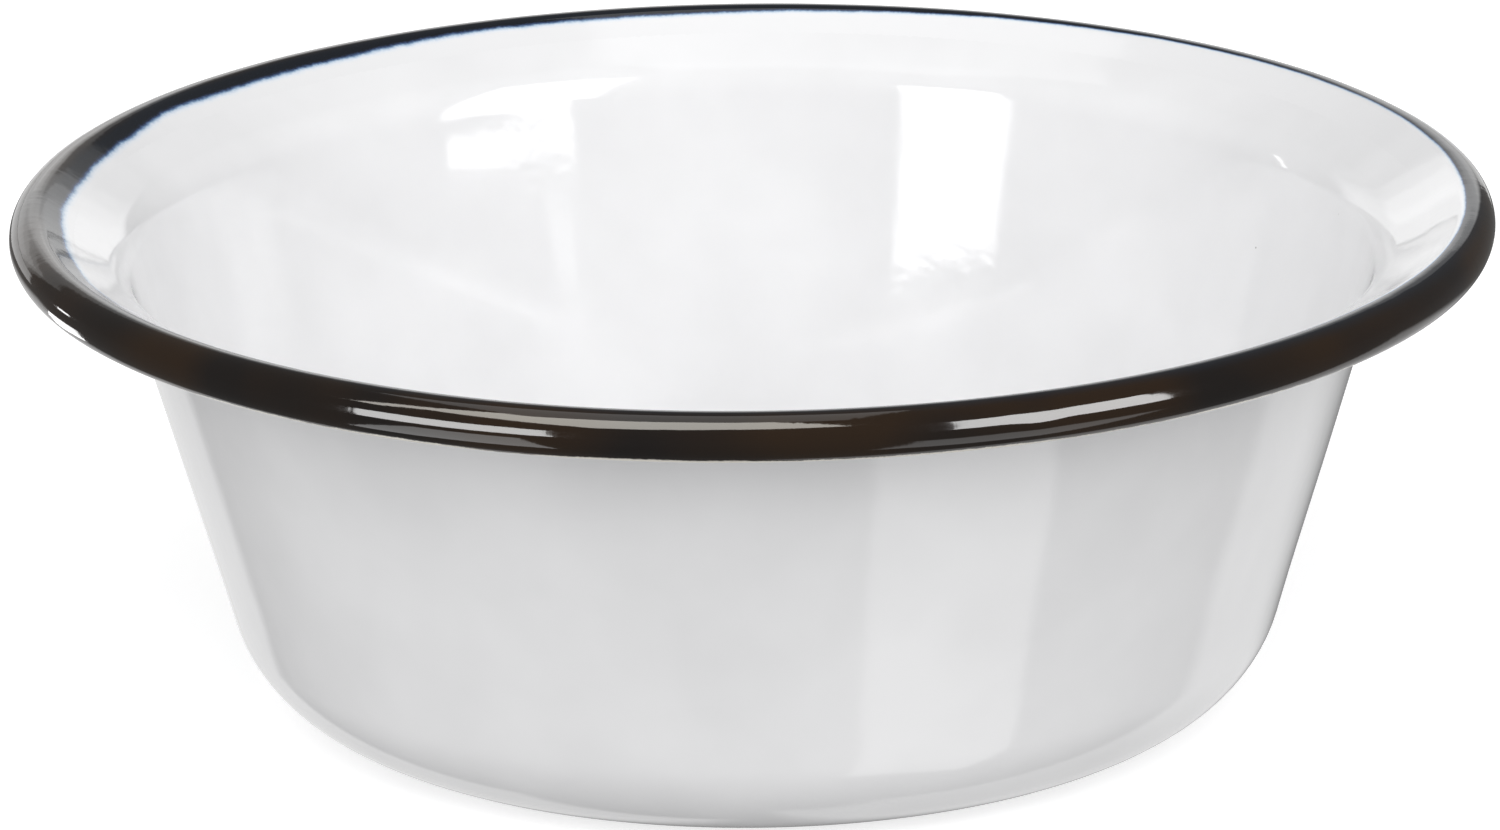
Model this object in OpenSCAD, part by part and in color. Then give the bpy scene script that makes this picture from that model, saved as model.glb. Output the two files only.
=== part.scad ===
// Enamelled basin bowl: a basin pressed from sheet steel, with a flared lip and a rolled rim,
// coated on both sides with a dark ground coat and white enamel, and with black enamel on the rim.
// The origin is at the centre of the standing face, +Z is up, and sizes are in millimetres.

/* [Basin] */
// Outside diameter over the rolled rim
rim_d = 220; // [180:1:320]
// Overall height, from the standing face to the top of the rim
basin_h = 77; // [55:0.5:110]
// Lean of the wall from upright, in degrees
wall_angle = 16; // [6:0.5:24]
// Outside radius of the corner between the base and the wall
corner_r = 20; // [8:0.5:28]

/* [Lip and rolled rim] */
// Level width of the flared lip, from the crease to the rolled rim
lip_w = 11.3; // [8:0.1:20]
// Slope of the flared lip above level, in degrees
lip_angle = 31; // [15:1:50]
// Radius of the crease between the wall and the lip, on the outer face of the steel
crease_r = 7; // [1.5:0.5:12]
// Outside diameter of the rolled rim, over its enamel
bead_d = 7.2; // [5:0.1:10]
// Gap that the rolled edge leaves to the underside of the lip
curl_gap = 0.3; // [0.1:0.05:0.8]

/* [Base] */
// Width of the flat ring that the basin stands on
stand_w = 10; // [4:0.5:16]
// Height of the raised panel in the middle of the base
panel_rise = 1; // [0.4:0.1:3]
// Radius of both bends of the step up to the raised panel
step_r = 4; // [2:0.5:8]

/* [Sheet and enamel] */
// Thickness of the steel sheet
steel_t = 0.6; // [0.4:0.05:0.9]
// Thickness of the dark ground coat
ground_t = 0.1; // [0.05:0.01:0.2]
// Thickness of the white enamel
cover_t = 0.2; // [0.1:0.01:0.4]
// Thickness of the black enamel on the rim
rim_coat_t = 0.25; // [0.1:0.01:0.5]
// Length that the black enamel runs down the lip from the rolled rim
rim_coat_in = 0.5; // [0.2:0.1:4]
// Angle below level at which the black enamel stops, under the rolled rim
rim_coat_low = 50; // [20:1:85]
// Radius of the white enamel in the seam between the rolled edge and the lip
seam_r = 0.8; // [0.3:0.1:1.2]

/* [Hidden] */

// Largest turn between two points of an arc
arc_step = 6;
// Turns of the revolved bodies
$fn = 180;

// Depths from the outer face of the steel: above zero on the outside, below zero on the inside
ground_out = ground_t;
white_out = ground_t + cover_t;
steel_in = -steel_t;
ground_in = steel_in - ground_t;
white_in = ground_in - cover_t;
black_in = ground_in - rim_coat_t;

// Rolled rim: its centre, the radius of the steel's outer face inside the roll, and where the roll starts
bead_c = [(rim_d - bead_d) / 2, basin_h - bead_d / 2];
curl_r = bead_d / 2 + black_in;
curl_from = 90 + lip_angle;
// The roll ends where its coated edge is one gap away from the coated underside of the lip
curl_to = curl_from - 360 + acos((curl_r - ground_out - curl_gap) / (curl_r - ground_in));
// The ground coat goes on over the raw edge by its own thickness
edge_to = curl_to - ground_t / curl_r * 180 / PI;
black_to = -rim_coat_low;

// Steel's outer face: the level it stands at, and its lip and wall lines, which meet in the crease
skin_z = white_out;
lip_dir = [cos(lip_angle), sin(lip_angle)];
lip_up = [-sin(lip_angle), cos(lip_angle)];
lip_end = bead_c + curl_r * lip_up;
crease = lip_end - lip_w * [1, tan(lip_angle)];

// Crease bend: its centre lies outside the basin, as far from the wall line as from the lip line
crease_turn = 90 - wall_angle - lip_angle;
crease_back = crease_r / cos(crease_turn / 2);
crease_c = polar(crease, crease_back, crease_turn / 2 + lip_angle - 90);

// Base: the corner's centre, the standing ring inside it, and the step up to the raised panel
corner_skin_r = corner_r - white_out;
wall_foot = crease[0] - (crease[1] - skin_z) * tan(wall_angle);
base_r = wall_foot - corner_skin_r * (1 / cos(wall_angle) - tan(wall_angle));
stand_r = base_r - stand_w;
step_turn = acos(1 - panel_rise / (2 * step_r));
panel_r = stand_r - 2 * step_r * sin(step_turn);
panel_z = skin_z + panel_rise;

// Seam fillet: its centre touches the white enamel of the lip on one side and of the roll on the other
seam_turn = acos((curl_r - white_out - seam_r) / (curl_r - white_in + seam_r));
seam_at = curl_from + seam_turn - 360;

function polar(c, r, a) = c + r * [cos(a), sin(a)];
function reverse(list) = [for (i = [len(list) - 1:-1:0]) list[i]];
function rest(list) = [for (i = [1:len(list) - 1]) list[i]];

// Points of an arc from one angle to another, both ends included
function arc(c, r, from, to) =
    let (n = max(1, ceil(abs(to - from) / arc_step)))
    [for (i = [0:n]) polar(c, r, from + (to - from) * i / n)];

// A face of the sheet at a depth, from the middle of the base to the end of the crease
function basin_face(depth) = concat(
    [[0, panel_z - depth]],
    arc([panel_r, panel_z - step_r], step_r - depth, 90, 90 - step_turn),
    rest(arc([stand_r, skin_z + step_r], step_r + depth, -90 - step_turn, -90)),
    arc([base_r, skin_z + corner_skin_r], corner_skin_r + depth, -90, -wall_angle),
    arc(crease_c, crease_r - depth, 180 - wall_angle, curl_from)
);

// A face of the rolled rim at a depth, between two angles round its centre
function curl_face(depth, from, to) = arc(bead_c, curl_r - depth, from, to);

// A face of the whole sheet at a depth, from the middle of the base to an angle round the rolled rim
function sheet_face(depth, to) = concat(basin_face(depth), curl_face(depth, curl_from, to));

// Point of the lip at a depth where the white enamel ends and the black enamel starts
function black_start(depth) = polar(bead_c, curl_r - depth, curl_from) - rim_coat_in * lip_dir;

// Point under the lip, on its ground coat, straight across the gap from the rolled edge
function seam_foot() =
    let (edge = polar(bead_c, curl_r - ground_in, edge_to))
    edge + (curl_r - ground_out - (edge - bead_c) * lip_up) * lip_up;

module revolved(outline) {
    rotate_extrude()
        polygon(outline);
}

// Pressed sheet: base, wall, flared lip and rolled rim in one piece
module steel_pressing() {
    color("#8C9096")
        revolved(concat(sheet_face(0, curl_to), reverse(sheet_face(steel_in, curl_to))));
}

// Ground coat on the inside face, out to the raw edge of the rolled rim
module ground_coat_inside() {
    color("#2A2F3A")
        revolved(concat(sheet_face(steel_in, curl_to), reverse(sheet_face(ground_in, curl_to))));
}

// Ground coat on the outside face, which goes on inside the roll and over its raw edge
module ground_coat_outside() {
    color("#2A2F3A")
        revolved(concat(
            sheet_face(ground_out, edge_to),
            curl_face(ground_in, edge_to, curl_to),
            reverse(sheet_face(0, curl_to))
        ));
}

// White enamel on the inside, from the middle of the base to the black enamel on the lip
module white_enamel_inside() {
    color("#F1F2F4")
        revolved(concat(
            basin_face(ground_in),
            [black_start(ground_in), black_start(white_in)],
            reverse(basin_face(white_in))
        ));
}

// White enamel on the outside, which fills the seam under the lip and ends under the rolled rim
module white_enamel_outside() {
    color("#F1F2F4")
        revolved(concat(
            basin_face(white_out),
            arc(polar(bead_c, curl_r - white_in + seam_r, seam_at), seam_r, curl_from, seam_at + 180),
            rest(curl_face(white_in, seam_at, black_to)),
            curl_face(ground_in, black_to, edge_to),
            [seam_foot()],
            reverse(basin_face(ground_out))
        ));
}

// Black enamel over the rolled rim, from the lip to the underside
module black_rim_enamel() {
    color("#1C1917")
        revolved(concat(
            [black_start(ground_in)],
            curl_face(ground_in, curl_from, black_to),
            curl_face(black_in, black_to, curl_from),
            [black_start(black_in)]
        ));
}

steel_pressing();
ground_coat_inside();
ground_coat_outside();
white_enamel_inside();
white_enamel_outside();
black_rim_enamel();
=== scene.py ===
# %% [markdown]
# # An enamelled basin bowl
#
# The real basin is one pressing of thin steel sheet. It is dipped in a dark ground coat and fired, coated
# in opaque white enamel and fired again, and then black enamel is brushed along the rolled rim. The packed
# model holds these layers as exact solids. They are perfect, and real enamel isn't: it ripples, thins out
# at its edges and holds a few specks. So this lesson keeps the steel and the ground coat, and models the
# three layers that the eye sees again: the white inside, the white outside and the black rim.

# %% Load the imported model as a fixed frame
import math

import bpy
from mathutils import Matrix, Vector


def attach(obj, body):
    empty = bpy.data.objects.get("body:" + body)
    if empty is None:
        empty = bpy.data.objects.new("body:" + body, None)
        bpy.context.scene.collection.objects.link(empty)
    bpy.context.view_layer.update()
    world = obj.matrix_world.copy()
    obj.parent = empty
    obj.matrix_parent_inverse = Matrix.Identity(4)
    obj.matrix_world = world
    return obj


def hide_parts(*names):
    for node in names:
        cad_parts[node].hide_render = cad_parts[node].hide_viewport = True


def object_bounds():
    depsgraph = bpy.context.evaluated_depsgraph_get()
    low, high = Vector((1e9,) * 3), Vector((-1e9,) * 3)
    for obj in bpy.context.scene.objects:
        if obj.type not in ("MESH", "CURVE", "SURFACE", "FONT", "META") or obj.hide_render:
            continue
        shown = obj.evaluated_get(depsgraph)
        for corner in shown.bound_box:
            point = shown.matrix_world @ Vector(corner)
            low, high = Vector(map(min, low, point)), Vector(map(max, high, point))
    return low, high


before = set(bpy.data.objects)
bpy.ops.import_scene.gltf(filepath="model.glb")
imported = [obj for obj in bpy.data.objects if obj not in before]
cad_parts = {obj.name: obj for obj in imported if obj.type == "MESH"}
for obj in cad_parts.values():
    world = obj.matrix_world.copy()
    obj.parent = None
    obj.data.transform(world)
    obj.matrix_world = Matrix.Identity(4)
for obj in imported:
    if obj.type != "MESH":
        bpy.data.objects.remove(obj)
cad_low, cad_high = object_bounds()
MM = 0.001
print("CAD box in mm:", [round(edge / MM, 2) for edge in (*cad_low, *cad_high)])

# %% [markdown]
# ## The sheet's own sizes
#
# A spun or pressed vessel is drawn as half a section, with the distance from the axis across and the height
# up. The overall radius and height come from the frame, and the bends repeat the sizes of the pressing.
# Every face is drawn at a depth from the outer face of the steel, above zero outside and below zero inside,
# so the layers stay the right distance apart all along the section.

# %% Sizes of the section
rim_r = cad_high.x
bead_r = 3.6 * MM
wall_lean = 16
lip_slope = 31
lip_w = 11.3 * MM
corner_r = 20 * MM
crease_r = 7 * MM
stand_w = 10 * MM
panel_rise = 1 * MM
step_r = 4 * MM
seam_r = 0.8 * MM

outside_white = 0.3 * MM
inside_white = -0.9 * MM
inside_black = -0.95 * MM
coat_t = 0.17 * MM


def polar(centre, radius, degrees):
    """The point of the section at a distance and an angle from a centre."""
    turn = math.radians(degrees)
    return Vector(centre) + radius * Vector((math.cos(turn), math.sin(turn)))


bead_c = Vector((rim_r - bead_r, cad_high.z - bead_r))
roll_r = bead_r + inside_black
lip_side = 90 + lip_slope
lip_dir = polar((0, 0), 1, lip_slope)
crease = polar(bead_c, roll_r, lip_side) - lip_dir * (lip_w / lip_dir.x)
crease_turn = 90 - wall_lean - lip_slope
crease_c = polar(crease, crease_r / math.cos(math.radians(crease_turn / 2)), crease_turn / 2 + lip_slope - 90)

skin_z = cad_low.z + outside_white
corner_skin_r = corner_r - outside_white
lean = math.radians(wall_lean)
wall_foot = crease.x - (crease.y - skin_z) * math.tan(lean)
base_r = wall_foot - corner_skin_r * (1 / math.cos(lean) - math.tan(lean))
stand_r = base_r - stand_w
step_turn = math.degrees(math.acos(1 - panel_rise / (2 * step_r)))
panel_r = stand_r - 2 * step_r * math.sin(math.radians(step_turn))
panel_z = skin_z + panel_rise
print("crease at", [round(c / MM, 2) for c in crease], "mm, standing ring from",
      round(stand_r / MM, 1), "to", round(base_r / MM, 1), "mm")

# %% [markdown]
# ## A pen for sections
#
# By hand, a section like this is drawn from one vertex: E pulls a straight line out of it, and Spin turns
# it round a centre for each bend. A plane whose corners are merged gives that first vertex. A curve would
# do as well, but with Spin each bend is a true arc with the number of steps that it needs.

# %% The pen
ring_gap = 3.5 * MM
bend_step = 4


def start_outline(name, point):
    """Adds a mesh with one vertex at a point of the section, and leaves it in edit mode."""
    bpy.ops.object.select_all(action="DESELECT")
    bpy.ops.mesh.primitive_plane_add(size=MM)
    bpy.context.object.name = name
    bpy.context.object.data.name = name
    bpy.ops.object.mode_set(mode="EDIT")
    bpy.ops.mesh.merge(type="CENTER")
    bpy.ops.transform.translate(value=(point[0], 0, point[1]))
    return Vector(point)


def line_to(pen, end, gap=ring_gap):
    """Extrudes the selected vertex to a point, with a vertex at about every gap, and returns the point."""
    whole = Vector(end) - pen
    pieces = max(1, round(whole.length / gap))
    for _ in range(pieces):
        bpy.ops.mesh.extrude_region_move(
            TRANSFORM_OT_translate={"value": (whole.x / pieces, 0, whole.y / pieces)})
    return Vector(end)


def arc_to(pen, centre, turn, step=bend_step):
    """Spins the selected vertex round a centre by a turn in degrees, and returns where it ends."""
    bpy.ops.mesh.spin(steps=math.ceil(abs(turn) / step), angle=math.radians(turn),
                      center=(centre[0], 0, centre[1]), axis=(0, 1, 0))
    return Vector(centre) + Matrix.Rotation(math.radians(turn), 2) @ (pen - Vector(centre))


def turn_outline(turns, outwards):
    """Spins the whole outline round the basin's axis into a sheet whose faces point outwards or inwards."""
    bpy.ops.mesh.select_all(action="SELECT")
    bpy.ops.mesh.spin(steps=turns, angle=2 * math.pi, center=(0, 0, 0), axis=(0, 0, 1))
    bpy.ops.mesh.select_all(action="SELECT")
    bpy.ops.mesh.remove_doubles(threshold=0.001 * MM)
    bpy.ops.mesh.normals_make_consistent(inside=False)
    bpy.ops.object.mode_set(mode="OBJECT")
    piece = bpy.context.object
    widest = max(piece.data.polygons, key=lambda face: face.center.xy.length)
    if (widest.normal.xy.dot(widest.center.xy) > 0) != outwards:
        bpy.ops.object.mode_set(mode="EDIT")
        bpy.ops.mesh.select_all(action="SELECT")
        bpy.ops.mesh.flip_normals()
        bpy.ops.object.mode_set(mode="OBJECT")
    bpy.ops.object.shade_smooth()
    print(piece.name, "has", len(piece.data.polygons), "faces in its sheet")
    return piece


# %% [markdown]
# ## One face of the pressing
#
# Inside and outside have the same section at another depth: a raised panel in the middle, a step down to
# the standing ring, the corner, the leaning wall and the crease where the lip flares out. One function
# draws both. The rings are finer just under the crease, where the gloss shows every small dent. A bend that
# is hollow on one side is round on the other, so its radius grows or shrinks by the depth.

# %% The face of the basin, from the axis to the lip
fine_band = 14 * MM
fine_gap = 1 * MM


def draw_basin(name, depth):
    """Draws the basin's section at a depth, from the middle of the base to the end of the crease."""
    pen = start_outline(name, (0, panel_z - depth))
    pen = line_to(pen, (panel_r, panel_z - depth))
    pen = arc_to(pen, (panel_r, panel_z - step_r), -step_turn)
    pen = arc_to(pen, (stand_r, skin_z + step_r), step_turn)
    pen = line_to(pen, (base_r, skin_z - depth))
    pen = arc_to(pen, (base_r, skin_z + corner_skin_r), 90 - wall_lean)
    bend_start = polar(crease_c, crease_r - depth, 180 - wall_lean)
    pen = line_to(pen, bend_start - polar((0, 0), fine_band, 90 - wall_lean))
    pen = line_to(pen, bend_start, gap=fine_gap)
    return arc_to(pen, crease_c, -crease_turn)


# %% [markdown]
# ## The white inside
#
# The white enamel of the inside runs up the lip and just under the black. It is drawn as a sheet without
# thickness first, because a ripple that moves both faces of a thin shell would pinch it.

# %% Sheet of the white inside
rim_coat_in = 0.5 * MM
white_under_black = 0.2 * MM
basin_turns = 320

pen = draw_basin("white_inside", inside_white)
line_to(pen, polar(bead_c, roll_r - inside_white, lip_side) - lip_dir * (rim_coat_in - white_under_black))
white_inside = turn_outline(basin_turns, outwards=False)

# %% [markdown]
# ## The white outside
#
# Outside, the white runs under the lip, fills the seam where the rolled edge meets the lip, and goes round
# the underside of the roll to the black. The seam is an arc that touches the lip and the roll.

# %% Sheet of the white outside
rim_coat_low = 50
low_overlap = 4
seam_c_r = roll_r - inside_white + seam_r
seam_turn = math.degrees(math.acos((roll_r - outside_white - seam_r) / seam_c_r))
seam_at = lip_side + seam_turn - 360
seam_c = polar(bead_c, seam_c_r, seam_at)

pen = draw_basin("white_outside", outside_white)
pen = line_to(pen, polar(seam_c, seam_r, lip_side))
pen = arc_to(pen, seam_c, seam_at + 180 - lip_side, step=10)
arc_to(pen, bead_c, low_overlap - rim_coat_low - seam_at)
white_outside = turn_outline(basin_turns, outwards=True)

# %% [markdown]
# ## The black rim
#
# The black is brushed over the roll, so it has no cut edge: it thins out over the white on both sides. The
# sheet starts below the white's face, rises out of it over the lip, goes round the roll and dips back into
# the white underneath on a slightly smaller radius. Where it thins out, its material shows the white
# through it.

# %% Sheet of the black rim
feather_in = 5.5 * MM
feather_sink = 0.01 * MM
feather_low = 26
low_sink = 0.74 * MM
rim_turns = 480

pen = start_outline("black_rim", polar(bead_c, roll_r - inside_white - feather_sink, lip_side)
                    - lip_dir * (rim_coat_in + feather_in))
pen = line_to(pen, polar(bead_c, bead_r, lip_side) - lip_dir * rim_coat_in, gap=0.5 * MM)
pen = line_to(pen, polar(bead_c, bead_r, lip_side), gap=0.3 * MM)
pen = arc_to(pen, bead_c, -rim_coat_low - lip_side, step=3)
arc_to(pen, polar(bead_c, low_sink, -rim_coat_low), -feather_low, step=3)
black_rim = turn_outline(rim_turns, outwards=True)

# %% [markdown]
# ## Ripples
#
# Sheet steel moves in the furnace and enamel pools as it melts, so the walls of a real basin are never
# true. A Displace modifier with a soft cloud texture gives them ripples of a fifth of a millimetre at most,
# which only the reflections show. It only moves a sheet back from the face that shows, so that nothing grows
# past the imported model.

# %% Ripples


def fade(value, start, end):
    """A soft step from 0 at the start to 1 at the end."""
    share = min(max((value - start) / (end - start), 0), 1)
    return share * share * (3 - 2 * share)


def ripple(piece, wave, height, share):
    """Moves a sheet back by ripples of a wave length and a height, by the share that each place gets."""
    group = piece.vertex_groups.new(name="rippled")
    for vertex in piece.data.vertices:
        group.add([vertex.index], share(vertex.co), "REPLACE")
    cloud = bpy.data.textures.new(piece.name + "_ripple", "CLOUDS")
    cloud.noise_scale = wave
    cloud.noise_depth = 1
    displace = piece.modifiers.new("ripple", "DISPLACE")
    displace.texture = cloud
    displace.texture_coords = "LOCAL"
    displace.strength = height
    displace.mid_level = 1.0
    displace.vertex_group = group.name
    apply_modifier(piece, displace)


def apply_modifier(piece, modifier):
    """Applies one modifier of a piece."""
    bpy.ops.object.select_all(action="DESELECT")
    piece.select_set(True)
    bpy.context.view_layer.objects.active = piece
    bpy.ops.object.modifier_apply(modifier=modifier.name)


wall_fades_in = (12 * MM, 22 * MM)
wall_fades_out = (68 * MM, 61 * MM)
roll_fades_in = (104.6 * MM, 107.5 * MM)
roll_fade_height = 2.5 * MM


def on_wall(co):
    """The share of the ripples on the wall, which fades out towards the corner and the crease."""
    return fade(co.z, *wall_fades_in) * fade(co.z, *wall_fades_out)


def on_roll(co):
    """The share of the ripples on the top and the front of the roll."""
    return fade(co.xy.length, *roll_fades_in) * fade(co.z, bead_c.y - roll_fade_height, bead_c.y)


ripple(white_inside, wave=45 * MM, height=0.05 * MM, share=on_wall)
ripple(white_outside, wave=35 * MM, height=0.2 * MM, share=on_wall)
ripple(black_rim, wave=20 * MM, height=0.12 * MM, share=on_roll)
print("rippled:", white_inside.name, white_outside.name, black_rim.name)

# %% [markdown]
# ## Two dents
#
# A basin in use gets knocked. One shallow dent under the crease makes the notch in the left window, and one
# in the roll makes the long streak swing. They are made as by hand: some vertices are picked and pushed
# with proportional editing, which takes their neighbours along.

# %% Dents


def across_of(co):
    """How far round the basin a place is, in degrees to the right of the camera's side."""
    return math.degrees(math.atan2(co.x, -co.y))


def dent(piece, across, heights, push, reach, from_axis=0):
    """Pushes the vertices in a patch of the piece, and less of their neighbours as far as the reach."""
    bpy.ops.object.select_all(action="DESELECT")
    bpy.context.view_layer.objects.active = piece
    bpy.ops.object.mode_set(mode="EDIT")
    bpy.ops.mesh.select_mode(type="VERT")
    bpy.ops.mesh.select_all(action="DESELECT")
    bpy.ops.object.mode_set(mode="OBJECT")
    count = 0
    for vertex in piece.data.vertices:
        co = vertex.co
        vertex.select = (across[0] < across_of(co) < across[1] and heights[0] < co.z < heights[1]
                         and co.xy.length > from_axis)
        count += vertex.select
    bpy.ops.object.mode_set(mode="EDIT")
    bpy.ops.transform.translate(value=push, use_proportional_edit=True, proportional_edit_falloff="SMOOTH",
                                proportional_size=reach)
    bpy.ops.object.mode_set(mode="OBJECT")
    print("dent in", piece.name, "from", count, "vertices")


roll_front = 108.4 * MM
dent(white_inside, across=(-154.5, -148.5), heights=(62.5 * MM, 63.9 * MM),
     push=(-0.019 * MM, 0.037 * MM, 0), reach=4.5 * MM)
dent(black_rim, across=(20.2, 22.2), heights=(75 * MM, 76.2 * MM),
     push=(-0.043 * MM, 0.112 * MM, -0.09 * MM), reach=2.6 * MM, from_axis=roll_front)

# %% [markdown]
# ## Thickness
#
# Solidify gives each coat its thickness, away from the face that shows. It comes last, so that both faces
# of a coat follow the same ripples and dents.

# %% Coat thickness


def thicken(piece):
    """Gives a sheet the thickness of its coat, behind the face that shows."""
    solidify = piece.modifiers.new("coat", "SOLIDIFY")
    solidify.thickness = coat_t
    solidify.offset = -1
    apply_modifier(piece, solidify)
    print(piece.name, "has", len(piece.data.polygons), "faces")


for coat in (white_inside, white_outside, black_rim):
    thicken(coat)

# %% [markdown]
# ## Building materials from nodes
#
# A colour picked from a screen is an sRGB value, and the shader wants a linear one, so one function turns a
# hex value into linear light. Another adds a node, sets its fields and fills its inputs, and a socket among
# the inputs becomes a link.

# %% Colour and node helpers


def linear(hex_colour):
    """The linear RGBA of an sRGB hex colour."""
    parts = [int(hex_colour[i:i + 2], 16) / 255 for i in (1, 3, 5)]
    return (*[c / 12.92 if c <= 0.04045 else ((c + 0.055) / 1.055) ** 2.4 for c in parts], 1.0)


def add_node(tree, kind, fields=None, inputs=None):
    """Adds a node, sets its fields, and sets or links its inputs."""
    node = tree.nodes.new(kind)
    for name, value in (fields or {}).items():
        setattr(node, name, value)
    for name, value in (inputs or {}).items():
        if isinstance(value, bpy.types.NodeSocket):
            tree.links.new(value, node.inputs[name])
        else:
            node.inputs[name].default_value = value
    return node


def add_noise(tree, place, size, detail):
    """Adds a noise texture whose pattern has a size in the units of the place."""
    return add_node(tree, "ShaderNodeTexNoise", inputs={"Vector": place, "Scale": 1 / size, "Detail": detail})


def new_material(name):
    """A material with an empty node tree."""
    material = bpy.data.materials.new(name)
    material.use_nodes = True
    material.node_tree.nodes.clear()
    return material, material.node_tree


def set_ramp(node, stops):
    """Gives a colour ramp its stops, as pairs of position and hex colour."""
    ramp = node.color_ramp
    while len(ramp.elements) < len(stops):
        ramp.elements.new(0.5)
    for element, (position, colour) in zip(ramp.elements, stops):
        element.position = position
        element.color = linear(colour)


# %% [markdown]
# ## White enamel
#
# White vitreous enamel is glass made opaque with fine oxide: a neutral white under a hard clear gloss.
# Dipping leaves a faint orange peel that tears the edges of reflections, a little mottling where the coat
# is thicker, and here and there a pinhole where a bubble burst and the ground coat shows as a dark speck.

# %% White vitreous enamel, dipped and fired
WHITE = "#EBEBEC"


def white_enamel():
    """Opaque white glass with a hard gloss, faint mottling, orange peel and rare pinholes."""
    material, tree = new_material("white_vitreous_enamel_fired")
    place = add_node(tree, "ShaderNodeTexCoord").outputs["Object"]
    mottle = add_noise(tree, place, 30 * MM, detail=3.0)
    tone = add_node(tree, "ShaderNodeValToRGB", inputs={"Fac": mottle.outputs["Fac"]})
    set_ramp(tone, [(0.35, "#E7E7E8"), (0.65, "#EEEEEF")])

    cells = add_node(tree, "ShaderNodeTexVoronoi", inputs={"Vector": place, "Scale": 1 / (11 * MM)})
    pit = add_node(tree, "ShaderNodeMapRange", inputs={
        "Value": cells.outputs["Distance"], "From Min": 0.010, "From Max": 0.022,
        "To Min": 1.0, "To Max": 0.0})
    lot = add_node(tree, "ShaderNodeSeparateColor", inputs={"Color": cells.outputs["Color"]})
    rare = add_node(tree, "ShaderNodeMath", {"operation": "LESS_THAN"}, {0: lot.outputs["Red"], 1: 0.16})
    speck = add_node(tree, "ShaderNodeMath", {"operation": "MULTIPLY"},
                     {0: pit.outputs["Result"], 1: rare.outputs["Value"]})
    colour = add_node(tree, "ShaderNodeMix", {"data_type": "RGBA"}, {
        "Factor": speck.outputs["Value"], "A": tone.outputs["Color"], "B": linear("#5A554C")})

    peel = add_noise(tree, place, 2.5 * MM, detail=1.0)
    bump = add_node(tree, "ShaderNodeBump", inputs={
        "Height": peel.outputs["Fac"], "Strength": 1.0, "Distance": 0.011 * MM})
    gloss = add_node(tree, "ShaderNodeMapRange", inputs={
        "Value": mottle.outputs["Fac"], "To Min": 0.04, "To Max": 0.09})
    shader = add_node(tree, "ShaderNodeBsdfPrincipled", inputs={
        "Base Color": colour.outputs["Result"], "Roughness": gloss.outputs["Result"], "IOR": 1.52,
        "Normal": bump.outputs["Normal"]})
    add_node(tree, "ShaderNodeOutputMaterial", inputs={"Surface": shader.outputs["BSDF"]})
    return material


enamel_white = white_enamel()
for coat in (white_inside, white_outside):
    coat.data.materials.clear()
    coat.data.materials.append(enamel_white)
print("white enamel has", len(enamel_white.node_tree.nodes), "nodes")

# %% [markdown]
# ## Black enamel
#
# The rim's black is a brushed slip of dark glass, warm where it is thick. Where it thins out over the white
# on the lip, cobalt from the ground coat melts into it, and the edge fades through blue in a ragged line
# that wanders with the brush. Under the roll it stops short, and a cream line of bare edge shows. The
# distance to each edge comes from the place on the basin, and noise of three sizes makes it ragged.

# %% Black enamel, brushed on and fired
black_edge_low = bead_c.y + bead_r * math.sin(math.radians(-rim_coat_low))


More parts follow.
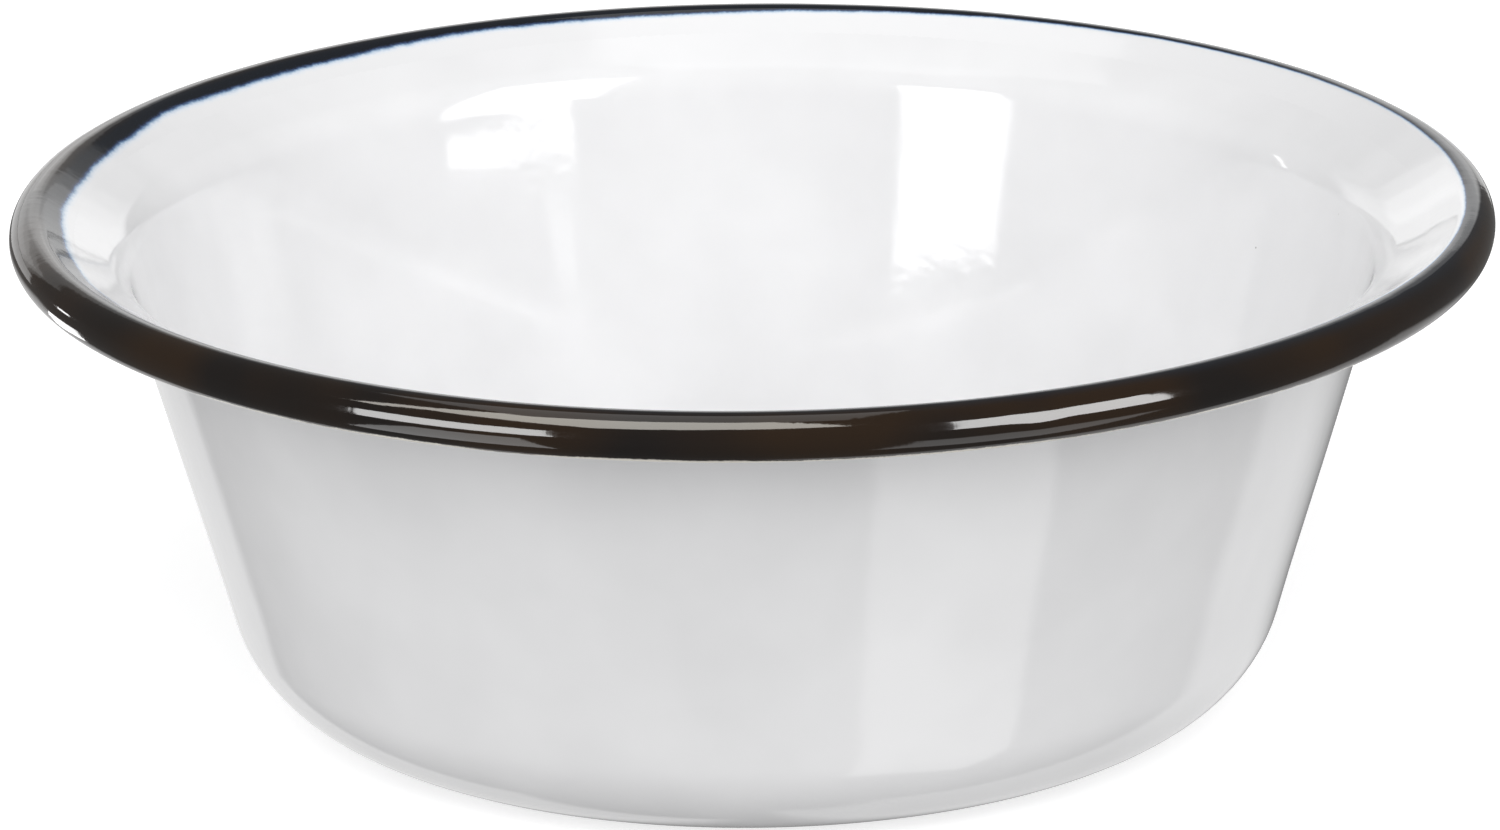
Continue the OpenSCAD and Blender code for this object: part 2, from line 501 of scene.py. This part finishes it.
def black_enamel():
    """Warm black glass that fades through cobalt blue to white on the lip, and to cream under the roll."""
    material, tree = new_material("black_vitreous_enamel_brushed")
    place = add_node(tree, "ShaderNodeTexCoord").outputs["Object"]
    axes = add_node(tree, "ShaderNodeSeparateXYZ", inputs={"Vector": place})
    flat = add_node(tree, "ShaderNodeVectorMath", {"operation": "MULTIPLY"}, {0: place, 1: (1, 1, 0)})
    radius = add_node(tree, "ShaderNodeVectorMath", {"operation": "LENGTH"}, {0: flat.outputs["Vector"]})
    across = add_node(tree, "ShaderNodeMath", {"operation": "DIVIDE"},
                      {0: axes.outputs["X"], 1: radius.outputs["Value"]}).outputs["Value"]

    # The black reaches furthest down the lip on the left, and its fade is widest there, all in millimetres
    reach = add_node(tree, "ShaderNodeMapRange", inputs={
        "Value": across, "From Min": -0.85, "From Max": 0.95, "To Min": 103.5, "To Max": 105.5})
    sag = add_node(tree, "ShaderNodeMapRange", inputs={
        "Value": across, "From Min": -1.0, "From Max": -0.85, "To Min": 1.1, "To Max": 0.0})
    width = add_node(tree, "ShaderNodeMapRange", inputs={
        "Value": across, "From Min": -0.9, "From Max": 0.6, "To Min": 1.5, "To Max": 0.5})

    wander = add_noise(tree, place, 22 * MM, detail=1.0)
    brush = add_noise(tree, place, 2.4 * MM, detail=2.0)
    grain = add_noise(tree, place, 0.5 * MM, detail=1.0)
    rag = wander.outputs["Fac"]
    for noise, share in ((brush, 0.35), (grain, 0.25)):
        rag = add_node(tree, "ShaderNodeMath", {"operation": "MULTIPLY_ADD"},
                       {0: noise.outputs["Fac"], 1: share, 2: rag}).outputs["Value"]
    rag = add_node(tree, "ShaderNodeMath", {"operation": "SUBTRACT"}, {0: rag, 1: 0.8}).outputs["Value"]

    inner = add_node(tree, "ShaderNodeMath", {"operation": "MULTIPLY_ADD"},
                     {0: radius.outputs["Value"], 1: 1 / MM, 2: sag.outputs["Result"]})
    inner = add_node(tree, "ShaderNodeMath", {"operation": "SUBTRACT"},
                     {0: inner.outputs["Value"], 1: reach.outputs["Result"]})
    inner = add_node(tree, "ShaderNodeMath", {"operation": "MULTIPLY_ADD"},
                     {0: rag, 1: width.outputs["Result"], 2: inner.outputs["Value"]})
    past_start = add_node(tree, "ShaderNodeMath", {"operation": "ADD"},
                          {0: inner.outputs["Value"], 1: width.outputs["Result"]})
    whole_fade = add_node(tree, "ShaderNodeMath", {"operation": "ADD"}, {0: width.outputs["Result"], 1: 0.35})
    faded = add_node(tree, "ShaderNodeMath", {"operation": "DIVIDE", "use_clamp": True},
                     {0: past_start.outputs["Value"], 1: whole_fade.outputs["Value"]})
    blue = add_node(tree, "ShaderNodeValToRGB", inputs={"Fac": faded.outputs["Value"]})
    set_ramp(blue, [(0.0, WHITE), (0.25, "#E5E9EE"), (0.42, "#CFDAE6"), (0.54, "#A9BED4"),
                    (0.64, "#7089AA"), (0.74, "#3F5273"), (0.86, "#232C3F"), (1.0, "#171B22")])
    patch = add_node(tree, "ShaderNodeValToRGB", inputs={"Fac": wander.outputs["Fac"]})
    set_ramp(patch, [(0.38, "#191513"), (0.62, "#281C11")])
    thick = add_node(tree, "ShaderNodeMapRange", inputs={
        "Value": inner.outputs["Value"], "From Min": 1.6, "From Max": 3.4})
    body = add_node(tree, "ShaderNodeMix", {"data_type": "RGBA"}, {
        "Factor": thick.outputs["Result"], "A": blue.outputs["Color"], "B": patch.outputs["Color"]})

    low = add_node(tree, "ShaderNodeMath", {"operation": "SUBTRACT"},
                   {0: axes.outputs["Z"], 1: black_edge_low})
    low_mm = add_node(tree, "ShaderNodeMath", {"operation": "MULTIPLY_ADD"},
                      {0: low.outputs["Value"], 1: 1 / MM, 2: rag})
    covered = add_node(tree, "ShaderNodeMapRange", inputs={
        "Value": low_mm.outputs["Value"], "From Min": -0.1, "From Max": 0.15})
    colour = add_node(tree, "ShaderNodeMix", {"data_type": "RGBA"}, {
        "Factor": covered.outputs["Result"], "A": linear("#EBE6DA"), "B": body.outputs["Result"]})

    flow = add_noise(tree, place, 5 * MM, detail=2.0)
    # The level direction from the axis is the same all over a cut across the roll, so its noise gives lines
    round_about = add_node(tree, "ShaderNodeVectorMath", {"operation": "NORMALIZE"},
                           {0: flat.outputs["Vector"]})
    lines = add_noise(tree, round_about.outputs["Vector"], 1.6 * MM / rim_r, detail=2.0)
    relief = add_node(tree, "ShaderNodeMath", {"operation": "MULTIPLY_ADD"},
                      {0: lines.outputs["Fac"], 1: 0.25, 2: flow.outputs["Fac"]})
    bump = add_node(tree, "ShaderNodeBump", inputs={
        "Height": relief.outputs["Value"], "Strength": 1.0, "Distance": 0.03 * MM})
    gloss = add_node(tree, "ShaderNodeMapRange", inputs={
        "Value": brush.outputs["Fac"], "To Min": 0.04, "To Max": 0.10})
    shader = add_node(tree, "ShaderNodeBsdfPrincipled", inputs={
        "Base Color": colour.outputs["Result"], "Roughness": gloss.outputs["Result"], "IOR": 1.55,
        "Normal": bump.outputs["Normal"]})
    add_node(tree, "ShaderNodeOutputMaterial", inputs={"Surface": shader.outputs["BSDF"]})
    return material


enamel_black = black_enamel()
black_rim.data.materials.clear()
black_rim.data.materials.append(enamel_black)
print("black enamel has", len(enamel_black.node_tree.nodes), "nodes")

# %% [markdown]
# ## Ground coat and steel
#
# These two are sealed inside, and show only where the enamel is chipped or cut open. They stay as the
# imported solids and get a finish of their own: a dark cobalt glass that beads a little, and pickled sheet
# with an even fine grain.

# %% Ground coat and pickled sheet


def ground_enamel():
    """Dark cobalt glass, fired thin, with the mottling of bubbles in it."""
    material, tree = new_material("cobalt_ground_enamel_fired")
    place = add_node(tree, "ShaderNodeTexCoord").outputs["Object"]
    bubbles = add_noise(tree, place, 1.2 * MM, detail=3.0)
    tone = add_node(tree, "ShaderNodeValToRGB", inputs={"Fac": bubbles.outputs["Fac"]})
    set_ramp(tone, [(0.3, "#1B2130"), (0.7, "#2F3A52")])
    bump = add_node(tree, "ShaderNodeBump", inputs={
        "Height": bubbles.outputs["Fac"], "Strength": 1.0, "Distance": 0.01 * MM})
    shader = add_node(tree, "ShaderNodeBsdfPrincipled", inputs={
        "Base Color": tone.outputs["Color"], "Roughness": 0.25, "IOR": 1.52,
        "Normal": bump.outputs["Normal"]})
    add_node(tree, "ShaderNodeOutputMaterial", inputs={"Surface": shader.outputs["BSDF"]})
    return material


def pickled_steel():
    """Cold-rolled sheet after its acid bath: dull grey metal with an even fine grain."""
    material, tree = new_material("cold_rolled_steel_pickled")
    place = add_node(tree, "ShaderNodeTexCoord").outputs["Object"]
    grain = add_noise(tree, place, 0.8 * MM, detail=4.0)
    tone = add_node(tree, "ShaderNodeValToRGB", inputs={"Fac": grain.outputs["Fac"]})
    set_ramp(tone, [(0.3, "#83878C"), (0.7, "#A3A6AA")])
    rough = add_node(tree, "ShaderNodeMapRange", inputs={
        "Value": grain.outputs["Fac"], "To Min": 0.35, "To Max": 0.55})
    shader = add_node(tree, "ShaderNodeBsdfPrincipled", inputs={
        "Base Color": tone.outputs["Color"], "Metallic": 1.0, "Roughness": rough.outputs["Result"]})
    add_node(tree, "ShaderNodeOutputMaterial", inputs={"Surface": shader.outputs["BSDF"]})
    return material


enamel_ground = ground_enamel()
steel = pickled_steel()
for name, finish in (("steel_pressing", steel), ("ground_coat_inside", enamel_ground),
                     ("ground_coat_outside", enamel_ground)):
    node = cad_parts[name]
    node.data.materials.clear()
    node.data.materials.append(finish)
print("finishes on the packed solids:", steel.name, "and", enamel_ground.name)

# %% [markdown]
# ## Joining the coats to the frame
#
# The basin has no moving parts, so every piece rides on the one body. Each new coat stands for the packed
# solid of the same layer, which is hidden.

# %% Bodies and replaced solids
for coat, solid, slot in ((white_inside, "white_enamel_inside", "white_enamel"),
                          (white_outside, "white_enamel_outside", "white_enamel"),
                          (black_rim, "black_rim_enamel", "black_enamel")):
    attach(coat, "root")
    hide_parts(solid)
    print(coat.name, "stands for", solid)

# %% [markdown]
# ## Floor
#
# The floor is a plain white sheet that keeps the basin's soft shadow. It only receives: rays that leave the
# basin don't meet it, because the lower half of the world stands for the light that a table throws back,
# and so the underside can be looked at too. Its back is clear for the same reason.

# %% Floor
floor_size = 12.0
floor_lift = 0.4
bpy.ops.object.select_all(action="DESELECT")
bpy.ops.mesh.primitive_plane_add(size=floor_size, location=(0, 0, cad_low.z))
floor = bpy.context.object
floor.name = "floor"
floor.visible_diffuse = False
floor.visible_glossy = False
floor.visible_shadow = False

paper, tree = new_material("white_paper_floor")
facing = add_node(tree, "ShaderNodeNewGeometry")
diffuse = add_node(tree, "ShaderNodeBsdfDiffuse", inputs={"Color": linear("#F2F2F2")})
lift = add_node(tree, "ShaderNodeEmission", inputs={"Strength": floor_lift})
shown = add_node(tree, "ShaderNodeAddShader", inputs={
    0: diffuse.outputs["BSDF"], 1: lift.outputs["Emission"]})
clear = add_node(tree, "ShaderNodeBsdfTransparent")
under = add_node(tree, "ShaderNodeMixShader", inputs={
    "Fac": facing.outputs["Backfacing"], 1: shown.outputs["Shader"], 2: clear.outputs["BSDF"]})
add_node(tree, "ShaderNodeOutputMaterial", inputs={"Surface": under.outputs["Shader"]})
floor.data.materials.append(paper)
print("floor", floor_size, "m wide")

# %% [markdown]
# ## World
#
# The world gives the even part of the light: a sky above, and below it a table that is brighter far off
# than straight down, where the basin shades it. To the camera it is white, and to a reflection it is a dim
# room, so that the panels and cards of later steps stand out in the gloss.

# %% World
sky_light = 0.47
table_light = 0.68
shaded_light = 0.52
room_glow = 0.15
table_glow = 0.16
world = bpy.data.worlds.new("studio")
bpy.context.scene.world = world
world.use_nodes = True
tree = world.node_tree
tree.nodes.clear()
path = add_node(tree, "ShaderNodeLightPath")
towards = add_node(tree, "ShaderNodeTexCoord").outputs["Generated"]
axes = add_node(tree, "ShaderNodeSeparateXYZ", inputs={"Vector": towards})
above = add_node(tree, "ShaderNodeMapRange", inputs={
    "Value": axes.outputs["Z"], "From Min": -0.05, "From Max": 0.05})
table = add_node(tree, "ShaderNodeMapRange", inputs={
    "Value": axes.outputs["Z"], "From Min": -1.0, "From Max": -0.1,
    "To Min": shaded_light, "To Max": table_light})
fill = add_node(tree, "ShaderNodeMix", {"data_type": "FLOAT"}, {
    "Factor": above.outputs["Result"], "A": table.outputs["Result"], "B": sky_light})
room = add_node(tree, "ShaderNodeMapRange", inputs={
    "Value": above.outputs["Result"], "To Min": table_glow, "To Max": room_glow}).outputs["Result"]
print("light of the sky", sky_light, "and of the table", table_light)

# %% [markdown]
# ## The room in the gloss
#
# The mirrored room isn't even: parts of the table are lit, at the right in front and on both sides behind.
# Each one is a panel in the world, given by its direction, half its width and its reach up and down in
# degrees, and it fades in over a few degrees from its edge.

# %% Panels in the mirrored room


def out_from_axis(across):
    """The level direction away from the axis. Across is in degrees to the right of the camera's side."""
    turn = math.radians(across)
    return Vector((math.sin(turn), -math.cos(turn), 0))


panels = (
    (48, 23, (-62, -30), 4, 1.3),
    (149, 30, (-80, -20), 8, 0.7),
    (-160, 19, (-62, -14), 6, 0.7))
rise = add_node(tree, "ShaderNodeMath", {"operation": "ARCSINE"}, {0: axes.outputs["Z"]}).outputs["Value"]
for across, half_width, (low, high), edge, glow in panels:
    ahead, aside = [add_node(tree, "ShaderNodeVectorMath", {"operation": "DOT_PRODUCT"}, {
        0: towards, 1: out_from_axis(across + turn)}).outputs["Value"] for turn in (0, 90)]
    turned = add_node(tree, "ShaderNodeMath", {"operation": "ARCTAN2"}, {0: aside, 1: ahead}).outputs["Value"]
    depths = []
    for angle, middle, half in ((turned, 0, half_width), (rise, (low + high) / 2, (high - low) / 2)):
        off = add_node(tree, "ShaderNodeMath", {"operation": "SUBTRACT"}, {0: angle, 1: math.radians(middle)})
        off = add_node(tree, "ShaderNodeMath", {"operation": "ABSOLUTE"}, {0: off.outputs["Value"]})
        depths.append(add_node(tree, "ShaderNodeMath", {"operation": "SUBTRACT"}, {
            0: math.radians(half), 1: off.outputs["Value"]}).outputs["Value"])
    depth = add_node(tree, "ShaderNodeMath", {"operation": "MINIMUM"}, {0: depths[0], 1: depths[1]})
    panel = add_node(tree, "ShaderNodeMapRange", {"interpolation_type": "SMOOTHSTEP"}, {
        "Value": depth.outputs["Value"], "From Max": math.radians(edge), "To Max": glow})
    lit = add_node(tree, "ShaderNodeMath", {"operation": "ADD"}, {0: room, 1: panel.outputs["Result"]})
    room = lit.outputs["Value"]

soft = add_node(tree, "ShaderNodeMix", {"data_type": "FLOAT"}, {
    "Factor": path.outputs["Is Glossy Ray"], "A": fill.outputs["Result"], "B": room})
seen = add_node(tree, "ShaderNodeMix", {"data_type": "FLOAT"}, {
    "Factor": path.outputs["Is Camera Ray"], "A": soft.outputs["Result"], "B": 1.0})
light = add_node(tree, "ShaderNodeBackground", inputs={
    "Color": linear("#FFFFFF"), "Strength": seen.outputs["Result"]})
add_node(tree, "ShaderNodeOutputWorld", inputs={"Surface": light.outputs["Background"]})
print("world with", len(tree.nodes), "nodes")

# %% [markdown]
# ## Broad lamps
#
# Broad suns give the soft shape: the main one from just left of the camera with a weak one above it, one on
# each side, one from the far right for the left of the inside, and a low one for the left of the wall. They
# are wide, so the shadow under the lip fades over a finger's width, and they don't show in the gloss, where
# a sun would be a small disc.

# %% Broad lamps
sun_width = 50
for name, across, up, energy in (
        ("sun_front", -8, 38, 0.86), ("sun_high", -8, 62, 0.13), ("sun_left", -50, 35, 0.5),
        ("sun_right", 45, 35, 0.77), ("sun_side", 90, 20, 0.3), ("sun_low", -75, 4, 0.3)):
    sun = bpy.data.lights.new(name, "SUN")
    sun.energy = energy
    sun.angle = math.radians(sun_width)
    holder = bpy.data.objects.new(name, sun)
    bpy.context.scene.collection.objects.link(holder)
    beam = -out_from_axis(across) * math.cos(math.radians(up)) - Vector((0, 0, math.sin(math.radians(up))))
    holder.rotation_euler = beam.to_track_quat("-Z", "Y").to_euler()
    holder.visible_glossy = False
    print(name, "from", across, "degrees across and", up, "up")

# %% [markdown]
# ## Cards for the gloss
#
# Glossy enamel shows the studio in it: the two windows on the far wall and the long streaks on the black
# rim are the picture of it. Each card is a lamp that shows only in reflections, so it can stand where the
# gloss needs it and the level of the light stays plain, and light linking lets it show on some coats only.
# Upright cards are given by a level direction, a distance, and how far they reach sideways and up. A soft
# edge is a stack of cards, each a little narrower and a millimetre nearer, because lamps at the same
# distance hide each other. Table cards lie flat and are given by how far from the axis they reach, and
# ceiling cards by their middle, all in millimetres.

# %% Cards for the gloss


def card(name, place, turn, wide, tall, glow, shows_on=(), tint="#FFFFFF"):
    """A rectangular lamp at a place, turned as given, that shows only in the gloss of all or some coats."""
    lamp = bpy.data.lights.new(name, "AREA")
    lamp.shape = "RECTANGLE"
    lamp.size = wide
    lamp.size_y = tall
    lamp.energy = glow * wide * tall * math.pi
    lamp.color = linear(tint)[:3]
    holder = bpy.data.objects.new(name, lamp)
    bpy.context.scene.collection.objects.link(holder)
    holder.location = place
    holder.rotation_euler = [math.radians(angle) for angle in turn]
    holder.visible_camera = False
    holder.visible_diffuse = False
    if shows_on:
        receivers = bpy.data.collections.new(name + "_shows_on")
        for coat in shows_on:
            receivers.objects.link(coat)
        holder.light_linking.receiver_collection = receivers


soft_layers = 4
level_edge_share = 0.1


def upright_card(name, across, distance, side, height, glow, roll=0, soft=0, shows_on=()):
    """A card that stands at a distance from the axis. Soft is the width of its edges. All sizes are in mm."""
    layers = soft_layers if soft else 1
    for layer in range(layers):
        inset = 2 * soft * layer / layers
        place = (out_from_axis(across) * (distance - layer) + out_from_axis(across + 90) * sum(side) / 2
                 + Vector((0, 0, sum(height) / 2)))
        card(f"{name}_{layer}", place * MM, (90, roll, across), (side[1] - side[0] - inset) * MM,
             (height[1] - height[0] - inset * level_edge_share) * MM, glow / layers, shows_on)


def table_card(name, across, reach, wide, glow, shows_on=()):
    """A card that lies on the table between two distances from the axis, in millimetres."""
    place = out_from_axis(across) * sum(reach) / 2
    card(name, place * MM, (180, 0, across), wide * MM, (reach[1] - reach[0]) * MM, glow, shows_on)


ceiling_height = 1070


def ceiling_card(name, middle, turn, wide, deep, glow, shows_on, tint="#FFFFFF"):
    """A card that hangs level over a place given from the axis, in millimetres."""
    place = Vector((*middle, ceiling_height))
    card(name, place * MM, (0, 0, turn), wide * MM, deep * MM, glow, shows_on, tint)


behind, behind_away = 180, 1500
dot_from, dot_away = -122, 500

# The far wall is hollow, so the window on its left is the one that stands at the right of the camera
from_right, right_away, right_roll = 50, 600, 5.6
from_left, left_away, left_roll = -40, 450, -3.5
warm = "#FFFBF2"
inside, rim, lip = [white_inside], [black_rim], [white_inside, black_rim]

upright_card("window_left", from_right, right_away, side=(-97, 219), height=(220, 1220), glow=6,
             roll=right_roll, soft=24, shows_on=inside)
upright_card("window_left_beak", from_right, right_away + 5, side=(-207, -20), height=(312, 1220), glow=5,
             soft=24, shows_on=inside)
upright_card("window_left_low", from_right, right_away + 10, side=(-122, -52), height=(205, 224), glow=2,
             soft=16, shows_on=inside)
upright_card("window_right", from_left, left_away, side=(-137, 61), height=(168, 468), glow=6,
             roll=left_roll, soft=18, shows_on=inside)
upright_card("crease_dot", dot_from, dot_away, side=(-49, -33), height=(147, 257), glow=5.5, shows_on=inside)
ceiling_card("ceiling", (-125, 170), turn=0, wide=550, deep=760, glow=0.9, shows_on=lip)

# The backdrop behind the basin fades upwards and at its sides in four layers, which stand a little apart
layer_gap = 10
for layer, (top, glow) in enumerate(((860, 0.28), (640, 0.37), (540, 0.3), (430, 0.15))):
    upright_card(f"backdrop_{top}", behind, behind_away - layer_gap * layer,
                 side=(30 * layer - 540, 1250 - 100 * layer), height=(205, top), glow=glow)
upright_card("backdrop_bright", behind, behind_away - 50, side=(-40, 420), height=(340, 650), glow=0.3,
             soft=110)
upright_card("backdrop_low", behind, behind_away - 60, side=(-540, 1250), height=(-190, 188), glow=0.9)

upright_card("streak_right", from_right, right_away, side=(-237, 109), height=(101, 485), glow=11,
             roll=right_roll, shows_on=rim)
upright_card("streak_left", from_left, left_away, side=(-120, 108), height=(18, 178), glow=10.5,
             roll=left_roll, shows_on=rim)
ceiling_card("streak_top", (-274, -621), turn=20, wide=860, deep=740, glow=7, shows_on=rim, tint=warm)
ceiling_card("streak_top_left", (-688, -303.5), turn=20, wide=1000, deep=140, glow=7, shows_on=rim, tint=warm)
upright_card("rim_glint", dot_from, dot_away, side=(38, 68), height=(40, 64), glow=9, shows_on=rim)
table_card("table_left", -36, reach=(145, 272), wide=70, glow=2.4, shows_on=rim)
table_card("table_glint", -112, reach=(177, 247), wide=45, glow=5, shows_on=rim)

# %% [markdown]
# ## Camera
#
# The photograph is taken from far off with a long lens, a little above the rim, and the camera leans by
# less than a degree. A camera at the origin looks down, so its first turn lifts its view to the horizon.

# %% Camera
camera_back = 1280 * MM
camera_up = 454.2 * MM
camera_pitch = 17.837
camera_yaw = 0.029
camera_roll = -0.667

camera = bpy.data.cameras.new("camera")
camera.lens = 216
camera.sensor_width = 36
camera_holder = bpy.data.objects.new("camera", camera)
bpy.context.scene.collection.objects.link(camera_holder)
camera_holder.matrix_world = (
    Matrix.Translation((0, -camera_back, camera_up))
    @ Matrix.Rotation(math.radians(camera_yaw), 4, "Z")
    @ Matrix.Rotation(math.radians(90 - camera_pitch), 4, "X")
    @ Matrix.Rotation(math.radians(camera_roll), 4, "Z"))
bpy.context.scene.camera = camera_holder
bpy.context.scene.view_settings.view_transform = "Standard"
print("camera at", [round(c, 3) for c in camera_holder.location], "m with a lens of", camera.lens, "mm")
